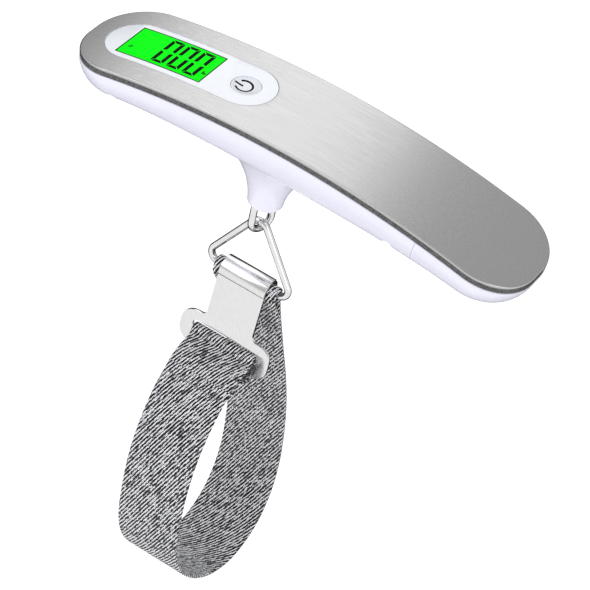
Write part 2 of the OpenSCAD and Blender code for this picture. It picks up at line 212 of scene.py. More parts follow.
def swept_tube(path, radius, sides=28, closed=False):
    """Round tube along a path, its rings carried along without twist."""
    points = []
    n = len(path)
    path = [Vector(p) for p in path]
    normal = None
    for i in range(n):
        ahead = path[(i + 1) % n] if closed else path[min(i + 1, n - 1)]
        behind = path[(i - 1) % n] if closed else path[max(i - 1, 0)]
        along = (ahead - behind).normalized()
        if normal is None:
            normal = along.orthogonal().normalized()
        normal = (normal - along * normal.dot(along)).normalized()
        side = along.cross(normal)
        for j in range(sides):
            a = 2 * math.pi * j / sides
            points.append(tuple(path[i] + normal * radius * math.cos(a) + side * radius * math.sin(a)))
    faces = loft_faces(n, sides, wrap_rows=closed)
    if not closed:
        faces.append(tuple(range(sides)))
        faces.append(tuple(range(len(points) - sides, len(points))))
    return points, faces


def softened(node, name, body, material, width):
    """A copy of a CAD node with small round edges, which stands for the node."""
    sharp = math.radians(35)
    data = frame["nodes"][node].data.copy()
    data.name = name
    data.materials.clear()
    data.materials.append(material)
    work = bmesh.new()
    work.from_mesh(data)
    bmesh.ops.remove_doubles(work, verts=work.verts, dist=1e-6)
    bmesh.ops.dissolve_limit(work, angle_limit=math.radians(0.6), verts=work.verts, edges=work.edges)
    edges = [e for e in work.edges if len(e.link_faces) == 2 and e.calc_face_angle() > sharp]
    bmesh.ops.bevel(work, geom=edges, offset=width * MM, segments=3, profile=0.5,
                    affect="EDGES", clamp_overlap=True)
    for face in work.faces:
        face.material_index = 0
    work.to_mesh(data)
    work.free()
    piece = bpy.data.objects.new(name, data)
    scene.collection.objects.link(piece)
    outward(data, 32)
    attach(piece, body)
    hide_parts(node)


# ---------------------------------------------------------------- materials

def new_material(name):
    """A material with its node tree and its Principled shader."""
    material = bpy.data.materials.new(name)
    material.use_nodes = True
    tree = material.node_tree
    shader = tree.nodes["Principled BSDF"]
    return material, tree, shader


def add(tree, kind, **settings):
    """A new node: settings named in_... set its sockets, the others its own values."""
    node = tree.nodes.new(kind)
    for key, value in settings.items():
        if key.startswith("in_"):
            node.inputs[key[3:]].default_value = value
        else:
            setattr(node, key, value)
    return node


def ramp(tree, source, low, high, start=0.3, end=0.7):
    """Colour ramp from low to high over part of a texture's range."""
    node = tree.nodes.new("ShaderNodeValToRGB")
    node.color_ramp.elements[0].position = start
    node.color_ramp.elements[1].position = end
    node.color_ramp.elements[0].color = (*low, 1)
    node.color_ramp.elements[1].color = (*high, 1)
    tree.links.new(source, node.inputs["Fac"])
    return node.outputs["Color"]


def grey(value):
    """Neutral colour."""
    return (value, value, value)


def moulded(name, low, high, rough, cell=260, peel=0.02, grain=900, metallic=0.0, coat=0.0, specular=0.5,
            emission=None, spread=0.06, edge=1.0):
    """Moulded or machined surface: slow colour drift, uneven gloss and a fine skin texture."""
    material, tree, shader = new_material(name)
    place = add(tree, "ShaderNodeTexCoord").outputs["Object"]
    drift = add(tree, "ShaderNodeTexNoise", in_Scale=cell, in_Detail=3.0, in_Roughness=0.55)
    tree.links.new(place, drift.inputs["Vector"])
    tree.links.new(ramp(tree, drift.outputs["Fac"], low, high), shader.inputs["Base Color"])
    fine = add(tree, "ShaderNodeTexNoise", in_Scale=grain, in_Detail=2.0)
    tree.links.new(place, fine.inputs["Vector"])
    tree.links.new(ramp(tree, fine.outputs["Fac"], grey(rough - spread), grey(rough + spread)),
                   shader.inputs["Roughness"])
    bump = add(tree, "ShaderNodeBump", in_Strength=peel, in_Distance=0.0002)
    tree.links.new(fine.outputs["Fac"], bump.inputs["Height"])
    tree.links.new(bump.outputs["Normal"], shader.inputs["Normal"])
    shader.inputs["Metallic"].default_value = metallic
    shader.inputs["Coat Weight"].default_value = coat
    shader.inputs["Coat Roughness"].default_value = 0.08
    # Specular tint colours the reflection at grazing angles: an edge value below 1 paints shade along the
    # rims, standing in for dark surroundings reflected there
    shader.inputs["Specular Tint"].default_value = (*grey(edge), 1)
    shader.inputs["Specular IOR Level"].default_value = specular
    if emission:
        shader.inputs["Emission Color"].default_value = (*emission[0], 1)
        shader.inputs["Emission Strength"].default_value = emission[1]
    return material


def brushed(name, low, high, rough, stretch, strength=0.12, edge=1.0):
    """Brushed or rolled metal: long fine lines along one axis, in colour, gloss and bump."""
    across, along = 2600, 26
    material, tree, shader = new_material(name)
    place = add(tree, "ShaderNodeTexCoord").outputs["Object"]
    scale = add(tree, "ShaderNodeMapping")
    scale.inputs["Scale"].default_value = [along if k == stretch else across for k in range(3)]
    tree.links.new(place, scale.inputs["Vector"])
    lines = add(tree, "ShaderNodeTexNoise", in_Scale=1.0, in_Detail=4.0, in_Roughness=0.7)
    tree.links.new(scale.outputs["Vector"], lines.inputs["Vector"])
    tree.links.new(ramp(tree, lines.outputs["Fac"], low, high), shader.inputs["Base Color"])
    tree.links.new(ramp(tree, lines.outputs["Fac"], grey(rough + 0.05), grey(rough - 0.05)),
                   shader.inputs["Roughness"])
    bump = add(tree, "ShaderNodeBump", in_Strength=strength, in_Distance=0.00005)
    tree.links.new(lines.outputs["Fac"], bump.inputs["Height"])
    tree.links.new(bump.outputs["Normal"], shader.inputs["Normal"])
    shader.inputs["Metallic"].default_value = 1.0
    # Specular tint colours the reflection at grazing angles: an edge value below 1 paints shade along the
    # rims, standing in for dark surroundings reflected there
    shader.inputs["Specular Tint"].default_value = (*grey(edge), 1)
    return material


def woven(name):
    """Melange webbing: fine slanting ribs of black and white yarn, broken up into short floats."""
    material, tree, shader = new_material(name)
    pitch = 0.92
    slant = math.radians(-66)
    float_length = 1.5
    uv = add(tree, "ShaderNodeUVMap", uv_map="UVMap").outputs["UV"]
    turn = add(tree, "ShaderNodeMapping")
    turn.inputs["Rotation"].default_value = (0, 0, slant)
    tree.links.new(uv, turn.inputs["Vector"])
    axes = add(tree, "ShaderNodeSeparateXYZ")
    tree.links.new(turn.outputs["Vector"], axes.inputs["Vector"])
    fibre = add(tree, "ShaderNodeTexNoise", in_Scale=1.1, in_Detail=3.0, in_Roughness=0.6)
    tree.links.new(uv, fibre.inputs["Vector"])
    phase = add(tree, "ShaderNodeMath", operation="MULTIPLY_ADD")
    phase.inputs[1].default_value = 2 * math.pi / pitch
    tree.links.new(axes.outputs["X"], phase.inputs[0])
    sway = add(tree, "ShaderNodeMath", operation="MULTIPLY")
    sway.inputs[1].default_value = 5.0
    tree.links.new(fibre.outputs["Fac"], sway.inputs[0])
    tree.links.new(sway.outputs["Value"], phase.inputs[2])
    rib = add(tree, "ShaderNodeMath", operation="SINE")
    tree.links.new(phase.outputs["Value"], rib.inputs[0])
    floats = add(tree, "ShaderNodeCombineXYZ")
    tree.links.new(axes.outputs["Y"], floats.inputs["X"])
    tree.links.new(axes.outputs["X"], floats.inputs["Y"])
    brick = add(tree, "ShaderNodeTexBrick", offset=0.5, offset_frequency=2)
    brick.inputs["Scale"].default_value = 1.0
    brick.inputs["Color1"].default_value = (0, 0, 0, 1)
    brick.inputs["Color2"].default_value = (1, 1, 1, 1)
    brick.inputs["Mortar"].default_value = (0.1, 0.1, 0.1, 1)
    brick.inputs["Mortar Size"].default_value = 0.1
    brick.inputs["Mortar Smooth"].default_value = 0.7
    brick.inputs["Brick Width"].default_value = float_length
    brick.inputs["Row Height"].default_value = pitch / 2
    tree.links.new(floats.outputs["Vector"], brick.inputs["Vector"])
    level = add(tree, "ShaderNodeMath", operation="MULTIPLY_ADD")
    level.inputs[1].default_value = 0.25
    level.inputs[2].default_value = 0.25
    tree.links.new(rib.outputs["Value"], level.inputs[0])
    yarn = add(tree, "ShaderNodeMath", operation="MULTIPLY_ADD")
    yarn.inputs[1].default_value = 0.5
    tree.links.new(brick.outputs["Color"], yarn.inputs[0])
    tree.links.new(level.outputs["Value"], yarn.inputs[2])
    tree.links.new(ramp(tree, yarn.outputs["Value"], (0.004, 0.004, 0.005), (0.9, 0.9, 0.91), 0.45, 0.58),
                   shader.inputs["Base Color"])
    bump = add(tree, "ShaderNodeBump", in_Strength=0.8, in_Distance=0.0002)
    tree.links.new(yarn.outputs["Value"], bump.inputs["Height"])
    tree.links.new(bump.outputs["Normal"], shader.inputs["Normal"])
    shader.inputs["Roughness"].default_value = 0.8
    shader.inputs["Sheen Weight"].default_value = 0.1
    shader.inputs["Specular IOR Level"].default_value = 0.3
    return material


plate_steel = brushed("top_plate_steel", grey(0.545), grey(0.575), 0.29, 0, strength=0.05)
# The hook plate's edge tint of 0.1 paints dark shade along its rims
hook_steel = brushed("hook_plate_steel", grey(0.8), grey(0.86), 0.2, 2, strength=0.05, edge=0.1)
# The chrome wire's edge tint of 0 paints dark shade along its rims
chrome = moulded("wire_chrome", grey(0.8), grey(0.88), 0.08, metallic=1.0, peel=0.01, spread=0.03, edge=0.0)
white_shell = moulded("shell_plastic", (0.83, 0.82, 0.92), (0.85, 0.84, 0.94), 0.22, peel=0.02, coat=0.3)
white_window = moulded("window_plastic", (0.87, 0.89, 0.92), (0.89, 0.91, 0.94), 0.16, peel=0.01, coat=0.4)
white_button = moulded("button_plastic", (0.80, 0.80, 0.85), (0.82, 0.82, 0.87), 0.24, peel=0.02, coat=0.2)
trim = moulded("frame_trim", grey(0.015), grey(0.15), 0.35, cell=1900, grain=2600, peel=0.4)
lcd_green = moulded("lcd_green", (0.0, 0.7, 0.0), (0.0, 0.78, 0.01), 0.3, cell=90, peel=0.005, specular=0.03,
                    emission=((0.0, 1.0, 0.0), 0.4))
ink = moulded("black_ink", grey(0.001), grey(0.003), 0.5, peel=0.02, specular=0.08)
mask_ink = moulded("mask_ink", (0.0, 0.01, 0.0), (0.0, 0.03, 0.005), 0.4, peel=0.02, specular=0.1)
webbing = woven("melange_webbing")
thread = moulded("stitch_thread", grey(0.12), grey(0.3), 0.8, cell=3000, grain=5000, peel=0.6)

# The finish of each material slot in the record, for the CAD nodes
finishes = {
    "lens_clear": moulded("lens_clear_plastic", (0.7, 0.85, 0.7), (0.75, 0.9, 0.75), 0.1),
    "lcd_glass": lcd_green,
    "backlight": moulded("backlight_diffuser", (0.7, 0.9, 0.7), (0.8, 0.95, 0.8), 0.5),
    "holder_white": moulded("holder_plastic", grey(0.7), grey(0.76), 0.5),
    "zebra_rubber": moulded("zebra_rubber", (0.7, 0.4, 0.45), (0.78, 0.5, 0.55), 0.7),
    "board_green": moulded("board_laminate", (0.01, 0.09, 0.03), (0.02, 0.14, 0.05), 0.4),
    "black_epoxy": moulded("chip_epoxy", grey(0.01), grey(0.02), 0.25),
    "part_black": moulded("component_black", grey(0.02), grey(0.04), 0.45),
    "switch_body": moulded("switch_plastic", grey(0.05), grey(0.08), 0.4),
    "plunger": moulded("plunger_plastic", grey(0.7), grey(0.78), 0.4),
    "cell_aluminium": brushed("cell_aluminium", grey(0.6), grey(0.7), 0.35, 0),
    "gauge_amber": moulded("gauge_film", (0.6, 0.3, 0.05), (0.7, 0.38, 0.08), 0.3),
    "screw_steel": brushed("screw_steel", grey(0.5), grey(0.62), 0.3, 2),
    "wire_red": moulded("wire_red_sleeve", (0.5, 0.02, 0.02), (0.6, 0.03, 0.03), 0.5),
    "wire_black": moulded("wire_black_sleeve", grey(0.02), grey(0.03), 0.5),
    "holder_black": moulded("holder_black_plastic", grey(0.02), grey(0.035), 0.45),
    "cell_steel": brushed("cell_steel", grey(0.6), grey(0.7), 0.25, 0),
    "contact_brass": brushed("contact_brass", (0.6, 0.45, 0.2), (0.7, 0.55, 0.28), 0.3, 0),
    "brushed_top": plate_steel,
    "trim_grey": trim,
    "shell_white": white_shell,
    "window_white": white_window,
    "button_white": white_button,
    "wire_chrome": chrome,
    "plate_steel": hook_steel,
    "webbing_grey": webbing,
}


def dress_nodes():
    """Gives every CAD node the procedural material of its slot."""
    slots = {}
    for part in frame["record"]["subparts"]:
        slots[part["node"]] = part["material_slot"]
    for node, obj in frame["nodes"].items():
        material = finishes[slots[node]]
        if not obj.data.materials:
            obj.data.materials.append(material)
        for k in range(len(obj.data.materials)):
            obj.data.materials[k] = material


# ---------------------------------------------------------------- handle

def make_plate():
    """Steel top plate with rolled edges outside and at the window."""
    outer = rounded_rectangle(HALF_L, HALF_W, CORNER_R, 1.0, 40)
    centre = WINDOW_S / ARCH_R
    half = (WINDOW_L - WINDOW_W) / 2
    end_r = WINDOW_W / 2
    window = []
    for x, y, _, _ in outer:
        lx = ARCH_R * math.sin(math.asin(x / ARCH_R) - centre)
        window.append(stadium_hit(lx, y, half, end_r))

    def outer_point(k, inset, depth):
        """Angle and y of a point in from the plate's outline."""
        x, y, nx, ny = outer[k]
        x -= nx * inset
        y -= ny * inset
        return math.asin(x / (ARCH_R - depth)), y

    def window_point(k, outset, depth):
        """Angle and y of a point out from the window's outline."""
        lx, y, nx, ny = window[k]
        return centre + math.asin((lx + nx * outset) / (ARCH_R - depth)), y + ny * outset

    rings = []
    edge = 0.12
    roll = 0.38
    for depth, outset in [(PLATE_T, 0), (edge, 0), (edge * 0.45, edge * 0.16), (edge * 0.1, edge * 0.5)]:
        rings.append([on_arch(*window_point(k, outset, depth), depth) for k in range(len(outer))])
    steps = 44
    for i in range(steps + 1):
        t = i / steps
        row = []
        for k in range(len(outer)):
            a0, y0 = window_point(k, edge, 0)
            a1, y1 = outer_point(k, roll, 0)
            row.append(on_arch(a0 + t * (a1 - a0), y0 + t * (y1 - y0), 0))
        rings.append(row)
    for i in range(1, 6):
        a = math.radians(90 * i / 5)
        depth = roll * (1 - math.cos(a))
        inset = roll * (1 - math.sin(a))
        rings.append([on_arch(*outer_point(k, inset, depth), depth) for k in range(len(outer))])
    for depth, inset in [(PLATE_T - 0.15, 0), (PLATE_T - 0.04, 0.05), (PLATE_T, 0.18)]:
        rings.append([on_arch(*outer_point(k, inset, depth), depth) for k in range(len(outer))])
    for i in range(1, 12):
        t = i / 12
        row = []
        for k in range(len(outer)):
            a0, y0 = outer_point(k, 0.18, PLATE_T)
            a1, y1 = window_point(k, 0, PLATE_T)
            row.append(on_arch(a0 + t * (a1 - a0), y0 + t * (y1 - y0), PLATE_T))
        rings.append(row)
    points = [p for row in rings for p in row]
    faces = loft_faces(len(rings), len(outer), wrap_rows=True)
    plate = add_piece("top_plate_brushed", points, faces, "handle", plate_steel)
    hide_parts("top_plate")


def stadium_hit(x, y, half, end_r):
    """Where the ray from a stadium's middle to a point crosses its outline, with the normal there."""
    low, high = 0.0, 1.0
    for _ in range(40):
        t = (low + high) / 2
        px, py = x * t, y * t
        gap = math.hypot(max(abs(px) - half, 0), py)
        if gap < end_r:
            low = t
        else:
            high = t
    px, py = x * t, y * t
    nx = math.copysign(max(abs(px) - half, 0), px)
    length = math.hypot(nx, py)
    return px, py, nx / length, py / length


def shell_inset(u, y):
    """Distance inside the shell's outline, unrolled along the arch at the joint."""
    half_u = JOINT_R * END_ANGLE
    qx = np.abs(u) - half_u
    qy = np.abs(y) - (HALF_W - CORNER_R)
    outside = np.hypot(np.maximum(qx, 0), np.maximum(qy, 0))
    return CORNER_R - outside - np.minimum(np.maximum(qx, qy), 0)


def quarter_depth(inset, r):
    """Depth of a quarter-round edge at a distance inside the outline."""
    inside = np.clip(inset, 0, r)
    return np.sqrt(np.maximum(r * r - (r - inside) ** 2, 0))


def arch_xz(u, depth):
    """X and Z of a point unrolled along the arch at the shell's joint."""
    r = JOINT_R - depth
    return r * np.sin(u / JOINT_R), r * np.cos(u / JOINT_R) - ARCH_R


def boss_height(dx, y):
    """Height of the trumpet's surface over a point of the plan, found by halving."""
    low = np.full_like(dx, BOSS_Z)
    high = np.full_like(dx, BOSS_TOP_Z)
    for _ in range(40):
        z = (low + high) / 2
        a = BOSS_R + FLARE_X_R - 0.05 - np.sqrt(FLARE_X_R ** 2 - (z - FLARE_Z) ** 2)
        b = BOSS_R + FLARE_Y_R - 0.05 - np.sqrt(FLARE_Y_R ** 2 - (z - FLARE_Z) ** 2)
        inside = (dx / a) ** 2 + (y / b) ** 2 < 1
        high = np.where(inside, z, high)
        low = np.where(inside, low, z)
    return z


def resample(x, y, z, count):
    """The same number of evenly spaced points along each row's line."""
    out = []
    for i in range(len(x)):
        step = np.sqrt(np.diff(x[i]) ** 2 + np.diff(y[i]) ** 2 + np.diff(z[i]) ** 2)
        along = np.concatenate([[0], np.cumsum(step)])
        at = np.linspace(0, along[-1], count)
        out.append(np.stack([np.interp(at, along, row) for row in (x[i], y[i], z[i])]))
    return np.array(out)


def shell_skin():
    """Points of the whole lower shell: rays from the boss out to the rim, over it and back inside."""
    outline = np.array(rounded_rectangle(JOINT_R * END_ANGLE + CORNER_R, HALF_W, CORNER_R, 0.9, 44))
    axis_u = JOINT_R * math.asin(EYE_X / (JOINT_R - SHELL_R))
    du = outline[:, 0] - axis_u
    dy = outline[:, 1]
    ease = np.linspace(0, 1, 420)
    ease = ease * ease * (3 - 2 * ease)
    low, high = np.zeros(len(du)), np.ones(len(du))
    for _ in range(40):
        mid = (low + high) / 2
        mid_u = axis_u + mid * du
        x, _ = arch_xz(mid_u, quarter_depth(shell_inset(mid_u, mid * dy), SHELL_R))
        far = np.hypot(x - EYE_X, mid * dy) > BOSS_R + 0.02
        high = np.where(far, mid, high)
        low = np.where(far, low, mid)
    start = high[:, None]
    ray = start + (1 - start) * ease[None, :]
    u = axis_u + ray * du[:, None]
    y = ray * dy[:, None]
    inset = shell_inset(u, y)
    depth = np.maximum(quarter_depth(inset, SHELL_R), 0.25)
    x, z = arch_xz(u, depth)
    boss = boss_height(x - EYE_X, y)
    near = np.maximum(BOSS_BLEND - np.abs(z - boss), 0) / BOSS_BLEND
    merged = np.minimum(z, boss) - near * near * BOSS_BLEND / 4
    fade = np.clip(inset / 4.5, 0, 1)
    fade = fade * fade * (3 - 2 * fade)
    z = z - (z - merged) * fade
    z[:, 0] = BOSS_Z + 0.35
    z = np.maximum(z, BOSS_Z + 0.35)
    outside = resample(x, y, z, 170)
    direction = np.stack([x[:, 0] - EYE_X, y[:, 0]], axis=1)
    direction /= np.linalg.norm(direction, axis=1)[:, None]
    rows = []
    hole = SHANK_R + 0.5
    foot = [(hole, BOSS_BORE_TOP_Z), (hole, BOSS_Z + 3.2), (BOSS_R - 0.8, BOSS_Z + 3.2),
            (BOSS_R - 0.7, BOSS_Z + 3.1), (BOSS_R - 0.7, BOSS_Z + 0.2), (BOSS_R - 0.64, BOSS_Z + 0.06),
            (BOSS_R - 0.5, BOSS_Z), (BOSS_R - 0.33, BOSS_Z), (BOSS_R - 0.14, BOSS_Z + 0.05),
            (BOSS_R - 0.03, BOSS_Z + 0.18)]
    for r, h in foot:
        rows.append([(EYE_X + r * d[0], r * d[1], h) for d in direction])
    for k in range(outside.shape[2]):
        rows.append([tuple(outside[i, :, k]) for i in range(len(du))])
    for inside, depth in [(0.06, 0.11), (0.2, 0.05), (WALL - 0.1, 0.05), (WALL, 0.15)]:
        uu = outline[:, 0] - outline[:, 2] * inside
        yy = outline[:, 1] - outline[:, 3] * inside
        xx, zz = arch_xz(uu, depth)
        rows.append(list(zip(xx, yy, zz)))
    inner_u = outline[:, 0] - outline[:, 2] * WALL - axis_u
    inner_y = outline[:, 1] - outline[:, 3] * WALL
    for k in range(1, 48):
        t = k / 48
        scale = 1 - t * t * (3 - 2 * t) * 0.5 - t * 0.5
        target = direction * hole * 1.02
        uu = axis_u + scale * inner_u + (1 - scale) * target[:, 0]
        yy = scale * inner_y + (1 - scale) * target[:, 1]
        xx, zz = arch_xz(uu, np.maximum(quarter_depth(shell_inset(uu, yy) - WALL, SHELL_R - WALL), 0.15))
        rows.append(list(zip(xx, yy, zz)))
    points = [p for row in rows for p in row]
    return points, loft_faces(len(rows), len(du), wrap_rows=True)


def screw_cutter():
    """Four short columns that open the screw holes in the underside."""
    work = bmesh.new()
    for s in SCREW_S:
        for y in (-SCREW_Y, SCREW_Y):
            place = arch_matrix(s) @ Matrix.Translation((0, y, SCREW_HOLE_Z))
            bmesh.ops.create_cone(work, cap_ends=True, segments=40, radius1=SCREW_HOLE_R,
                                  radius2=SCREW_HOLE_R, depth=SCREW_HOLE_L, matrix=place)
    bmesh.ops.scale(work, vec=(MM, MM, MM), verts=work.verts)
    data = bpy.data.meshes.new("screw_cutter")
    work.to_mesh(data)
    work.free()
    cutter = bpy.data.objects.new("screw_cutter", data)
    scene.collection.objects.link(cutter)
    return cutter


def cut_at_door(data, keep_door):
    """Keeps the part of the shell on one side of the door's joint and closes the cut."""
    angle = DOOR_S / ARCH_R
    normal = Vector((math.cos(angle), 0, -math.sin(angle)))
    offset = DOOR_GAP / 2 if keep_door else -DOOR_GAP / 2
    point = (Vector(on_arch(angle, 0, 0)) + normal * offset) * MM
    work = bmesh.new()
    work.from_mesh(data)
    found = bmesh.ops.bisect_plane(work, geom=work.verts[:] + work.edges[:] + work.faces[:], plane_co=point,
                                   plane_no=normal, clear_outer=not keep_door, clear_inner=keep_door)
    edges = [g for g in found["geom_cut"] if isinstance(g, bmesh.types.BMEdge)]
    bmesh.ops.contextual_create(work, geom=edges)
    bmesh.ops.recalc_face_normals(work, faces=work.faces)
    out = bpy.data.meshes.new("shell_part")
    work.to_mesh(out)
    work.free()
    return out


def make_shell():
    """Lower shell and battery door, cut from one skin."""
    points, faces = shell_skin()
    whole = add_piece("shell_whole", points, faces, "handle", white_shell, ride=False)
    cutter = screw_cutter()
    holes = whole.modifiers.new("holes", "BOOLEAN")
    holes.operation = "DIFFERENCE"
    holes.solver = "EXACT"
    holes.object = cutter
    shape = bpy.data.meshes.new_from_object(whole.evaluated_get(bpy.context.evaluated_depsgraph_get()))
    for name, body, node, is_door in (("rear_shell_skin", "handle", "rear_shell", False),
                                      ("battery_door_skin", "door", "battery_door", True)):
        data = cut_at_door(shape, is_door)
        data.name = name
        data.materials.clear()
        data.materials.append(white_shell)
        data.polygons.foreach_set("material_index", [0] * len(data.polygons))
        data.polygons.foreach_set("use_smooth", [True] * len(data.polygons))
        data.set_sharp_from_angle(angle=math.radians(40))
        piece = bpy.data.objects.new(name, data)
        scene.collection.objects.link(piece)
        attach(piece, body)
        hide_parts(node)
    bpy.data.objects.remove(cutter)
    bpy.data.objects.remove(whole)


# ---------------------------------------------------------------- display and button

def arch_patch(name, outline_rows, depth_top, depth_low, material):
    """A thin slab on the arch over the display, its plan given as equal rows of points."""
    columns = len(outline_rows[0])
    points = []
    for depth in (depth_top, depth_low):
        for row in outline_rows:
            points += [on_arch(LCD_S / ARCH_R + math.asin(x / ARCH_R), y, depth) for x, y in row]
    count = len(outline_rows) * columns
    faces = loft_faces(len(outline_rows), columns, wrap_columns=False)
    faces += [tuple(v + count for v in reversed(f)) for f in faces]
    rim = list(range(columns))
    rim += [i * columns + columns - 1 for i in range(1, len(outline_rows))]
    rim += [(len(outline_rows) - 1) * columns + j for j in range(columns - 2, -1, -1)]
    rim += [i * columns for i in range(len(outline_rows) - 2, 0, -1)]
    for a, b in zip(rim, rim[1:] + rim[:1]):
        faces.append((a, b, b + count, a + count))
    return add_piece(name, points, faces, "handle", material)


def rectangle_rows(x0, x1, y0, y1):
    """Three rows of points over a rectangle."""
    columns = 24
    xs = [x0 + (x1 - x0) * i / columns for i in range(columns + 1)]
    return [[(x, y0) for x in xs], [(x, (y0 + y1) / 2) for x in xs], [(x, y1) for x in xs]]


def make_display():
    """Green display face with its dark border and its marks."""
    hx = LCD_L / 2 - 0.05
    hy = LCD_W / 2 - 0.05
    line = 0.38
    face = arch_patch("lcd_face", rectangle_rows(-hx, hx, -hy, hy), 0.1, 1.2, lcd_green)
    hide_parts("lcd_lens")
    bars = [(-hx, hx, -hy, -hy + line), (-hx, hx, hy - line, hy), (-hx, -hx + line, -hy, hy),
            (hx - line, hx, -hy, hy)]
    for k, (x0, x1, y0, y1) in enumerate(bars):
        arch_patch(f"lcd_border_{k + 1}", rectangle_rows(x0, x1, y0, y1), 0.07, 0.12, mask_ink)
    make_digits(-hx)


def make_digits(left):
    """Three noughts of a seven-segment display, and four small plain marks."""
    width, tall, stroke, gap, lift = 4.2, 12.4, 1.15, 0.28, 0.2
    polygons = []
    for digit_x in (11.0, 16.25, 21.5):
        x0 = left + digit_x
        x1 = x0 + width
        y0, y1 = -tall / 2 + lift, tall / 2 + lift
        middle = (y0 + y1) / 2
        for edge_x, turn in ((x0, 1), (x1, -1)):
            for low, high in ((y0 + gap, middle - gap), (middle + gap, y1 - gap)):
                inner = edge_x + turn * stroke
                slant = stroke * 0.8
                top_in = high - (slant if high > middle else stroke * 0.4)
                low_in = low + (slant if low < middle else stroke * 0.4)
                polygons.append([(edge_x, low), (inner, low_in), (inner, top_in), (edge_x, high)])
        for edge_y, turn in ((y0, 1), (y1, -1)):
            inner = edge_y + turn * stroke
            polygons.append([(x0 + gap, edge_y), (x1 - gap, edge_y),
                             (x1 - gap - stroke * 0.9, inner), (x0 + gap + stroke * 0.9, inner)])
    for x0, x1, y0, y1 in ((1.7, 2.9, -3.6, -3.2), (2.0, 3.2, -2.9, -2.5), (26.6, 27.1, -3.4, -1.9),
                           (27.3, 27.8, -3.4, -2.5)):
        polygons.append([(left + x0, y0), (left + x1, y0), (left + x1, y1), (left + x0, y1)])
    points, faces = [], []
    for polygon in polygons:
        first = len(points)
        for depth in (0.06, 0.13):
            points += [on_arch(LCD_S / ARCH_R + math.asin(x / ARCH_R), y, depth) for x, y in polygon]
        faces += [(first, first + 1, first + 2, first + 3), (first + 7, first + 6, first + 5, first + 4)]
        faces += [(first + k, first + (k + 1) % 4, first + 4 + (k + 1) % 4, first + 4 + k) for k in range(4)]
    add_piece("lcd_digits", points, faces, "handle", ink)


def dish_height(r):
    """Height of the button's dished face at a radius."""
    return DISH_CENTRE - math.sqrt(DISH_R ** 2 - r * r)


def make_button():
    """Round button with a dished face, and its power symbol."""
    place = arch_matrix(BUTTON_S)
    sides = 72
    profile = [(0.001, dish_height(0))]
    profile += [(r, dish_height(r)) for r in np.linspace(0.4, BUTTON_R - BUTTON_LIP, 16)]
    top = dish_height(BUTTON_R - BUTTON_LIP)
    profile += [(BUTTON_R - 0.2, top + 0.02), (BUTTON_R - 0.07, top - 0.05), (BUTTON_R, top - 0.2),
                (BUTTON_R, -1.85), (BUTTON_R + 0.7, -1.85), (BUTTON_R + 0.7, -2.3), (0.001, -2.3)]
    points = []
    for r, h in profile:
        for j in range(sides):
            a = 2 * math.pi * j / sides
            points.append(tuple(place @ Vector((r * math.cos(a), r * math.sin(a), h))))
    button = add_piece("power_button_dished", points, loft_faces(len(profile), sides), "button",
                       white_button)
    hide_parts("power_button")
    make_power_symbol(place)


def make_power_symbol(place):
    """Ring with a gap and a bar through it, laid on the dish."""
    centre_x, ring_r, stroke = -0.6, 2.45, 0.64
    shapes = []
    opening = math.radians(38)
    steps = 60
    arc = [math.pi + opening + (2 * math.pi - 2 * opening) * i / steps for i in range(steps + 1)]
    shapes.append([[(centre_x + r * math.cos(a), r * math.sin(a)) for a in arc]
                   for r in (ring_r - stroke / 2, ring_r + stroke / 2)])
    bar = [centre_x - 3.1 + 2.7 * i / 12 for i in range(13)]
    shapes.append([[(x, y) for x in bar] for y in (-stroke / 2, stroke / 2)])
    for k, rows in enumerate(shapes):
        points = []
        for lift in (0.02, -0.05):
            for row in rows:
                for x, y in row:
                    points.append(tuple(place @ Vector((x, y, dish_height(math.hypot(x, y)) + lift))))
        n = len(rows[0])
        faces = [(i, i + 1, n + i + 1, n + i) for i in range(n - 1)]
        faces += [(3 * n + i, 3 * n + i + 1, 2 * n + i + 1, 2 * n + i) for i in range(n - 1)]
        rim = list(range(n)) + list(range(2 * n - 1, n - 1, -1))
        faces += [(a, b, b + 2 * n, a + 2 * n) for a, b in zip(rim, rim[1:] + rim[:1])]
        add_piece(f"power_symbol_{k + 1}", points, faces, "button", ink)


# ---------------------------------------------------------------- load path

def arc_points(cx, cz, r, start, end, steps):
    """Points of an arc in the XZ plane, angles in degrees from +X towards +Z."""
    found = []
    for i in range(steps + 1):
        a = math.radians(start + (end - start) * i / steps)
        found.append((cx + r * math.cos(a), 0.0, cz + r * math.sin(a)))
    return found


def line_points(a, b, steps):
    """Points between two ends, without the ends."""
    return [tuple(a[k] + (b[k] - a[k]) * i / steps for k in range(3)) for i in range(1, steps)]


def make_ring():
    """Closed triangle of round wire with rounded corners."""
    apex_z = RING_APEX_Z - RING_BEND
    base_z = BAR_Z + RING_BEND
    half = RING_BASE / 2
    lean = math.degrees(math.atan2(apex_z - base_z, half))
    out = 90 - lean
    path = arc_points(EYE_X, apex_z, RING_BEND, 90 + lean, 90 - lean, 26)
    path += line_points(path[-1], arc_points(EYE_X + half, base_z, RING_BEND, out, out - 1, 1)[0], 24)
    path += arc_points(EYE_X + half, base_z, RING_BEND, out, -90, 30)
    path += line_points(path[-1], (EYE_X - half, 0.0, BAR_Z), 24)
    path += arc_points(EYE_X - half, base_z, RING_BEND, 270, 180 - out, 30)
    path += line_points(path[-1], path[0], 24)
    points, faces = swept_tube(path, WIRE_R, closed=True)
    ring = add_piece("triangle_ring_wire", points, faces, "ring", chrome)
    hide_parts("triangle_ring")


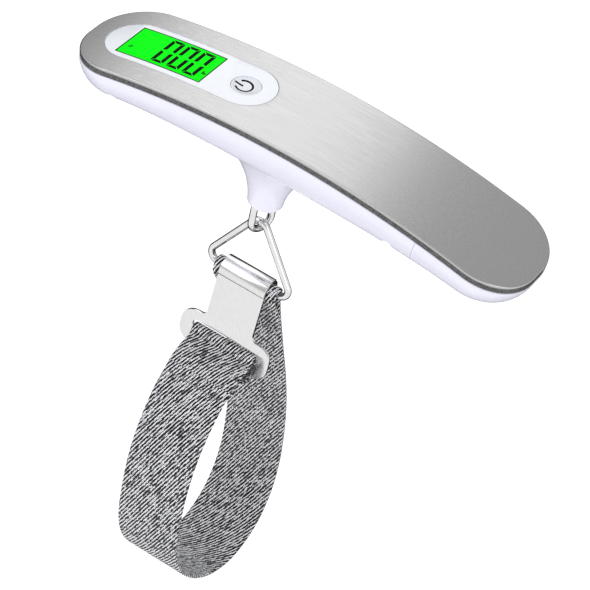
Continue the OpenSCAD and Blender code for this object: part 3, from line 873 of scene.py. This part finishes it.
def make_eye():
    """Wire link turned about its shank, and the shank itself."""
    path = arc_points(0, EYE_HIGH_Z, EYE_BEND, 180, 0, 30)
    path += line_points(path[-1], (EYE_BEND, 0.0, EYE_LOW_Z), 8)
    path += arc_points(0, EYE_LOW_Z, EYE_BEND, 0, -180, 30)
    path += line_points(path[-1], path[0], 8)
    turned = [tuple(Matrix.Rotation(EYE_TURN, 3, "Z") @ Vector(p) + Vector((EYE_X, 0, 0))) for p in path]
    points, faces = swept_tube(turned, WIRE_R, closed=True)
    eye = add_piece("load_eye_wire", points, faces, "eye", chrome)
    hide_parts("load_eye")
    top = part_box("load_eye")[1].z / MM
    seat = EYE_HIGH_Z + EYE_BEND
    shank = [(EYE_X, 0.0, seat - 0.6 + (top - seat + 0.6) * i / 60) for i in range(61)]
    points, faces = swept_tube(shank, SHANK_R)
    add_piece("load_eye_shank", points, faces, "eye", chrome)


def make_curl_lip():
    """The sheet's free end, lapped round the outside of the plate's curl and down its front."""
    inner = TURN_R + STRAP_T / 2 + PLAY + 1.0 + 0.01
    outer = inner + 0.42
    half = 8.1
    start, sweep, steps = 62, 196 - 62, 30
    lean = Matrix.Rotation(math.radians(-8), 3, "X")
    origin = Vector((EYE_X, 0, BAR_Z))
    section = []
    for i in range(steps + 1):
        a = math.radians(start + sweep * i / steps)
        r = outer - 0.12 * (max(0, 1 - i / 1.5) + max(0, 1 - (steps - i) / 1.5))
        section.append((r * math.cos(a), r * math.sin(a)))
    for i in range(steps, -1, -1):
        a = math.radians(start + sweep * i / steps)
        section.append((inner * math.cos(a), inner * math.sin(a)))
    stations = [(-half, 0.12), (-half + 0.06, 0.03), (-half + 0.16, 0), (0, 0),
                (half - 0.16, 0), (half - 0.06, 0.03), (half, 0.12)]
    points = []
    for x, shrink in stations:
        for k, (y, z) in enumerate(section):
            scale = 1 - shrink / outer if k <= steps else 1
            points.append(tuple(origin + lean @ Vector((x, y * scale, z * scale))))
    n = len(section)
    faces = loft_faces(len(stations), n)
    faces += [tuple(range(n)), tuple(range(len(points) - n, len(points)))]
    add_piece("hook_curl_lip", points, faces, "hook", hook_steel)


# ---------------------------------------------------------------- webbing

def spline(route, steps):
    """Catmull-Rom curve through the points of a route."""
    n = len(route)
    found = []
    for i in range(n - 1):
        p = [route[max(i - 1, 0)], route[i], route[i + 1], route[min(i + 2, n - 1)]]
        for k in range(steps):
            t = k / steps
            found.append(tuple(
                0.5 * (2 * p[1][c] + (p[2][c] - p[0][c]) * t
                       + (2 * p[0][c] - 5 * p[1][c] + 4 * p[2][c] - p[3][c]) * t * t
                       + (3 * p[1][c] - p[0][c] - 3 * p[2][c] + p[3][c]) * t * t * t) for c in (0, 1)))
    found.append(tuple(map(float, route[-1])))
    return found


def strap_section(thickness):
    """Outline of the webbing's section: flat faces, thin rounded selvedges."""
    half = STRAP_W / 2
    r = thickness / 2
    found = []
    flat = 30
    for i in range(flat + 1):
        x = -half + r + (STRAP_W - 2 * r) * i / flat
        found.append((x, r))
    for i in range(1, 8):
        a = math.radians(90 - 180 * i / 8)
        found.append((half - r + r * math.cos(a), r * math.sin(a)))
    for i in range(flat + 1):
        x = half - r - (STRAP_W - 2 * r) * i / flat
        found.append((x, -r))
    for i in range(1, 8):
        a = math.radians(-90 - 180 * i / 8)
        found.append((-half + r + r * math.cos(a), r * math.sin(a)))
    return found


def path_length(path):
    """Length of a path, from point to point."""
    return sum(math.dist(a, b) for a, b in zip(path, path[1:]))


def even(path, spacing):
    """The path with points at even spacing."""
    y = np.array([p[0] for p in path])
    z = np.array([p[1] for p in path])
    along = np.concatenate([[0], np.cumsum(np.hypot(np.diff(y), np.diff(z)))])
    count = max(2, int(along[-1] / spacing) + 1)
    at = np.linspace(0, along[-1], count)
    return list(zip(np.interp(at, along, y), np.interp(at, along, z)))


def strip(name, path, thickness, body, start_length=0.0, ride=True):
    """Webbing swept along a path in the YZ plane, with UVs in millimetres along and across."""
    section = strap_section(thickness)
    path = even(path, 0.7)
    points, uvs = [], []
    along = start_length
    for i, (y, z) in enumerate(path):
        y0, z0 = path[max(i - 1, 0)]
        y1, z1 = path[min(i + 1, len(path) - 1)]
        length = math.hypot(y1 - y0, z1 - z0)
        ny, nz = -(z1 - z0) / length, (y1 - y0) / length
        if i:
            along += math.hypot(y - y0, z - z0)
        for x, h in section:
            points.append((EYE_X + x, y + ny * h, z + nz * h))
            uvs.append((along, -x if h > 0 else x))
    n = len(section)
    faces = loft_faces(len(path), n)
    faces.append(tuple(range(n)))
    faces.append(tuple(range(len(points) - n, len(points))))
    return add_piece(name, points, faces, body, webbing, uvs=uvs, ride=ride)


def make_webbing():
    """The loop in a front and a back strip, the folded end in the plate's slot, and the stitches."""
    steps = 12
    whole = spline(FRONT_ROUTE + BACK_ROUTE[1:], steps)
    split = (len(FRONT_ROUTE) - 1) * steps
    turn = [(TURN_R * math.cos(math.radians(a)), BAR_Z + TURN_R * math.sin(math.radians(a)))
            for a in range(0, 181, 6)]
    # The front end runs on a little under the folded end that it is sewn to
    ty, tz = whole[0][0] - whole[2][0], whole[0][1] - whole[2][1]
    lap = 1.1 / math.hypot(ty, tz)
    tucked = [(whole[0][0] + ty * lap, whole[0][1] + tz * lap)]
    front = strip("webbing_front", tucked + whole[:split + 1], STRAP_T, "strap", ride=False)
    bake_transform(front)
    back = strip("webbing_back", whole[split:] + turn + spline(TAIL_ROUTE, 12)[1:], STRAP_T, "strap",
                 start_length=path_length(whole[:split + 1]))
    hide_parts("webbing_strap")
    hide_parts("webbing_strap")
    fold = strip("webbing_fold", spline(FOLD_ROUTE, 12), FOLD_T, "hook", start_length=11.0)
    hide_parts("strap_fold")
    make_stitches(whole)


def make_stitches(route):
    """One row of short stitches across the front of the strap, just below its seam."""
    path = even(route, 0.5)
    y0, z0 = path[3]
    y1, z1 = path[6]
    length = math.hypot(y1 - y0, z1 - z0)
    ny, nz = (z1 - z0) / length, -(y1 - y0) / length
    if ny > 0:
        ny, nz = -ny, -nz
    y, z = (y0 + y1) / 2 + ny * STRAP_T / 2, (z0 + z1) / 2 + nz * STRAP_T / 2
    count = 15
    pitch = (STRAP_W - 3) / count
    points, faces = [], []
    for k in range(count):
        left = EYE_X - STRAP_W / 2 + 1.5 + pitch * (k + 0.12)
        rise = [math.sin(math.pi * i / 8) * 0.16 - 0.06 for i in range(9)]
        line = [(left + pitch * 0.76 * i / 8, y + ny * rise[i], z + nz * rise[i]) for i in range(9)]
        part, quads = swept_tube(line, 0.15, sides=10)
        faces += [tuple(v + len(points) for v in f) for f in quads]
        points += part
    add_piece("seam_stitches", points, faces, "hook", thread)


# ---------------------------------------------------------------- stage, in metres

FLOOR_HALF = 14.0
FLOOR_Z = -1.6


def add_area(name, location, aim, size, power):
    """A rectangular area light that faces a point."""
    light = bpy.data.lights.new(name, "AREA")
    light.shape = "RECTANGLE"
    light.size = size[0]
    light.size_y = size[1]
    light.energy = power
    lamp = bpy.data.objects.new(name, light)
    scene.collection.objects.link(lamp)
    lamp.location = location
    lamp.rotation_euler = (Vector(aim) - Vector(location)).to_track_quat("-Z", "Y").to_euler()


def make_world():
    """Even pale light for all that isn't glossy, and a plain room for gloss to reflect."""
    world = bpy.data.worlds.new("studio")
    scene.world = world
    world.use_nodes = True
    tree = world.node_tree
    sky = tree.nodes["Background"]
    sky.inputs["Color"].default_value = (0.95, 0.96, 1.0, 1)
    sky.inputs["Strength"].default_value = 0.72
    # What glossy surfaces reflect: a pale room below, a greyer one above, and a dark wall at the back
    direction = add(tree, "ShaderNodeTexCoord").outputs["Generated"]
    wall = add(tree, "ShaderNodeVectorMath", operation="DOT_PRODUCT")
    wall.inputs[1].default_value = (-0.3, 0.68, -0.67)
    tree.links.new(direction, wall.inputs[0])
    dark = ramp(tree, wall.outputs["Value"], grey(1.0), grey(0.03), 0.42, 0.56)
    height = add(tree, "ShaderNodeSeparateXYZ")
    tree.links.new(direction, height.inputs["Vector"])
    room = ramp(tree, height.outputs["Z"], grey(0.97), grey(0.5), 0.0, 0.3)
    both = add(tree, "ShaderNodeMix", data_type="RGBA", blend_type="MULTIPLY")
    both.inputs["Factor"].default_value = 1.0
    tree.links.new(dark, both.inputs["A"])
    tree.links.new(room, both.inputs["B"])
    seen = add(tree, "ShaderNodeBackground")
    tree.links.new(both.outputs["Result"], seen.inputs["Color"])
    path = add(tree, "ShaderNodeLightPath")
    choose = add(tree, "ShaderNodeMixShader")
    tree.links.new(path.outputs["Is Glossy Ray"], choose.inputs["Fac"])
    tree.links.new(sky.outputs["Background"], choose.inputs[1])
    tree.links.new(seen.outputs["Background"], choose.inputs[2])
    tree.links.new(choose.outputs["Shader"], tree.nodes["World Output"].inputs["Surface"])


def make_floor():
    """Pale floor well below the object, out of the gloss."""
    floor_mesh = bpy.data.meshes.new("floor")
    work = bmesh.new()
    bmesh.ops.create_grid(work, x_segments=8, y_segments=8, size=FLOOR_HALF)
    work.to_mesh(floor_mesh)
    work.free()
    floor = bpy.data.objects.new("floor", floor_mesh)
    scene.collection.objects.link(floor)
    floor.location.z = FLOOR_Z
    floor.visible_glossy = False
    paper, _, shader = new_material("floor_paper")
    shader.inputs["Base Color"].default_value = (0.95, 0.95, 0.95, 1)
    shader.inputs["Roughness"].default_value = 0.9
    shader.inputs["Specular IOR Level"].default_value = 0.0
    shader.inputs["Emission Color"].default_value = (1, 1, 1, 1)
    shader.inputs["Emission Strength"].default_value = 0.5
    floor_mesh.materials.append(paper)


def make_lights():
    """A card that the plate reflects, a large soft key light and a fill light."""
    add_area("back_card", (-0.48, 0.82, 0.8), (0, 0, 0), (0.57, 0.9), 1.62)
    add_area("key", (-0.9, -1.0, 1.3), (0, 0, -0.05), (1.4, 1.4), 11)
    add_area("fill", (1.4, -0.6, 0.5), (0, 0, -0.1), (0.8, 1.2), 3)


def make_camera():
    """The photograph's view: a long lens on the object's middle."""
    azimuth = math.radians(23.76)
    elevation = math.radians(41.92)
    roll = math.radians(13.51)
    aim = Vector((17.8, -26.6, -36.4)) * MM
    distance = 0.745
    towards = Vector((math.sin(azimuth) * math.cos(elevation), -math.cos(azimuth) * math.cos(elevation),
                      math.sin(elevation)))
    data = bpy.data.cameras.new("camera")
    data.sensor_width = 36
    data.lens = 164.4
    data.clip_start = 0.01
    data.clip_end = 20
    camera = bpy.data.objects.new("camera", data)
    scene.collection.objects.link(camera)
    turn = (-towards).to_track_quat("-Z", "Y").to_matrix() @ Matrix.Rotation(roll, 3, "Z")
    camera.matrix_world = Matrix.Translation(aim + towards * distance) @ turn.to_4x4()
    scene.camera = camera


scene.view_settings.view_transform = "Standard"
make_camera()
make_world()
make_floor()
make_lights()
dress_nodes()
make_plate()
make_shell()
make_display()
make_button()
softened("display_fascia", "display_window", "handle", white_window, 0.12)
softened("hook_plate", "hook_plate_steel", "hook", hook_steel, 0.22)
make_curl_lip()
make_ring()
make_eye()
make_webbing()
